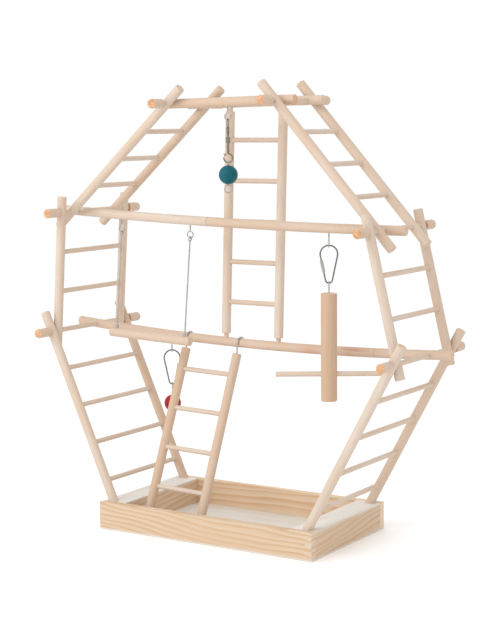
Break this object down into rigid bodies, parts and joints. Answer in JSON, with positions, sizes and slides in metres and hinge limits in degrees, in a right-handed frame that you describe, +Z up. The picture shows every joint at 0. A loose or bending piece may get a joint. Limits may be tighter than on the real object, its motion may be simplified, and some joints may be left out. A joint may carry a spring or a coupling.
{
  "type": "parrot play stand",
  "caption": "Wooden parrot play stand: a tray carries a hexagon of dowel ladders with cross bars, a swing, a loose ladder and hung bead and perch toys.",
  "frame": {"origin": "middle of the tray's underside, on the surface that the stand rests on", "axes": "+X along the tray's width to the right, +Y to the back, +Z up"},
  "size_m": [0.708, 0.2748, 0.7246],
  "materials": {
    "dowel_wood": "bare sanded",
    "pine": "bare sanded",
    "plywood": "bare sanded",
    "zinc_steel": "bright",
    "teal_paint": "painted satin",
    "red_paint": "painted satin"
  },
  "bodies": {
    "stand": {"bar_screw_eyes": "zinc_steel", "cross_rods": "dowel_wood", "foot_screws": "zinc_steel", "lower_bar": "dowel_wood", "lower_left_back_pole": "dowel_wood", "lower_left_front_pole": "dowel_wood", "lower_left_rungs": "dowel_wood", "lower_right_back_pole": "dowel_wood", "lower_right_front_pole": "dowel_wood", "lower_right_rungs": "dowel_wood", "middle_left_pole": "dowel_wood", "middle_pins": "dowel_wood", "middle_right_pole": "dowel_wood", "middle_rungs": "dowel_wood", "rod_knobs": "dowel_wood", "side_left_back_pole": "dowel_wood", "side_left_front_pole": "dowel_wood", "side_left_rungs": "dowel_wood", "side_right_back_pole": "dowel_wood", "side_right_front_pole": "dowel_wood", "side_right_rungs": "dowel_wood", "top_back_bar": "dowel_wood", "top_front_bar": "dowel_wood", "top_left_back_pole": "dowel_wood", "top_left_front_pole": "dowel_wood", "top_left_rungs": "dowel_wood", "top_right_back_pole": "dowel_wood", "top_right_front_pole": "dowel_wood", "top_right_rungs": "dowel_wood", "tray_back_board": "pine", "tray_base": "plywood", "tray_front_board": "pine", "tray_left_board": "pine", "tray_left_inner_board": "pine", "tray_left_ledge": "plywood", "tray_right_board": "pine", "tray_right_inner_board": "pine", "tray_right_ledge": "plywood", "upper_bar": "dowel_wood"},
    "hanging_ladder": {"hanging_left_pole": "dowel_wood", "hanging_right_pole": "dowel_wood", "hanging_rungs": "dowel_wood", "hanging_hooks": "zinc_steel"},
    "swing": {"swing_wires": "zinc_steel", "swing_perch": "dowel_wood"},
    "stick_toy_link": {"stick_link": "zinc_steel"},
    "stick_toy_sleeve": {"stick_link_sleeve": "zinc_steel"},
    "stick_toy": {"stick_eye": "zinc_steel", "stick": "dowel_wood", "cross_perch": "dowel_wood"},
    "red_toy_link": {"red_link": "zinc_steel"},
    "red_toy_sleeve": {"red_link_sleeve": "zinc_steel"},
    "red_toy_wire": {"red_bead_wire": "zinc_steel"},
    "red_toy_bead": {"red_bead": "red_paint"},
    "teal_toy_swivel": {"swivel_eye": "zinc_steel"},
    "teal_toy_snap": {"snap_body": "zinc_steel"},
    "teal_toy_gate": {"snap_gate": "zinc_steel"},
    "teal_toy_wire": {"teal_bead_wire": "zinc_steel"},
    "teal_toy_bead": {"teal_bead": "teal_paint"}
  },
  "joints": [
    {"name": "swing_hinge", "type": "hinge", "parent": "stand", "child": "swing", "pos_m": [-0.13924, -0.035, 0.47838], "axis": [0.9992, 0, -0.0394], "range_deg": [-60, 12]},
    {"name": "hanging_ladder_lift", "type": "slide", "parent": "stand", "child": "hanging_ladder", "axis": [0, 0, 1], "range_m": [0, 0.007]},
    {"name": "stick_link_swing", "type": "hinge", "parent": "stand", "child": "stick_toy_link", "pos_m": [0.184, -0.035, 0.4705], "axis": [-0.5299, 0.848, 0], "range_deg": [-8, 40]},
    {"name": "stick_sleeve_travel", "type": "slide", "parent": "stick_toy_link", "child": "stick_toy_sleeve", "axis": [0.174, 0.1087, -0.9787], "range_m": [0, 0.012]},
    {"name": "stick_swing", "type": "hinge", "parent": "stick_toy_link", "child": "stick_toy", "pos_m": [0.184, -0.035, 0.4154], "axis": [0.848, 0.5299, 0], "range_deg": [-46, 14]},
    {"name": "red_link_swing", "type": "hinge", "parent": "stand", "child": "red_toy_link", "pos_m": [-0.151, 0.024, 0.2791], "axis": [-0.5299, 0.848, 0], "range_deg": [-30, 30]},
    {"name": "red_sleeve_travel", "type": "slide", "parent": "red_toy_link", "child": "red_toy_sleeve", "axis": [-0.174, -0.1087, -0.9787], "range_m": [0, 0.012]},
    {"name": "red_wire_swing", "type": "hinge", "parent": "red_toy_link", "child": "red_toy_wire", "pos_m": [-0.151, 0.024, 0.224], "axis": [0.848, 0.5299, 0], "range_deg": [-45, 45]},
    {"name": "red_bead_spin", "type": "hinge", "parent": "red_toy_wire", "child": "red_toy_bead", "pos_m": [-0.151, 0.024, 0.1917], "axis": [0, 0, 1], "continuous": true},
    {"name": "teal_swivel_swing", "type": "hinge", "parent": "stand", "child": "teal_toy_swivel", "pos_m": [0.0085, -0.0435, 0.66285], "axis": [1, 0, 0], "range_deg": [-45, 35]},
    {"name": "teal_snap_spin", "type": "hinge", "parent": "teal_toy_swivel", "child": "teal_toy_snap", "pos_m": [0.0085, -0.0435, 0.63655], "axis": [0, 0, 1], "continuous": true},
    {"name": "teal_gate_hinge", "type": "hinge", "parent": "teal_toy_snap", "child": "teal_toy_gate", "pos_m": [0.00654, -0.04472, 0.61039], "axis": [0.5299, -0.848, 0], "range_deg": [0, 30], "stiffness_Nm_per_rad": 0.001},
    {"name": "teal_wire_swing", "type": "hinge", "parent": "teal_toy_snap", "child": "teal_toy_wire", "pos_m": [0.0085, -0.0435, 0.5973], "axis": [0.848, 0.5299, 0], "range_deg": [-40, 40]},
    {"name": "teal_bead_spin", "type": "hinge", "parent": "teal_toy_wire", "child": "teal_toy_bead", "pos_m": [0.0085, -0.0435, 0.5783], "axis": [0, 0, 1], "continuous": true}
  ]
}
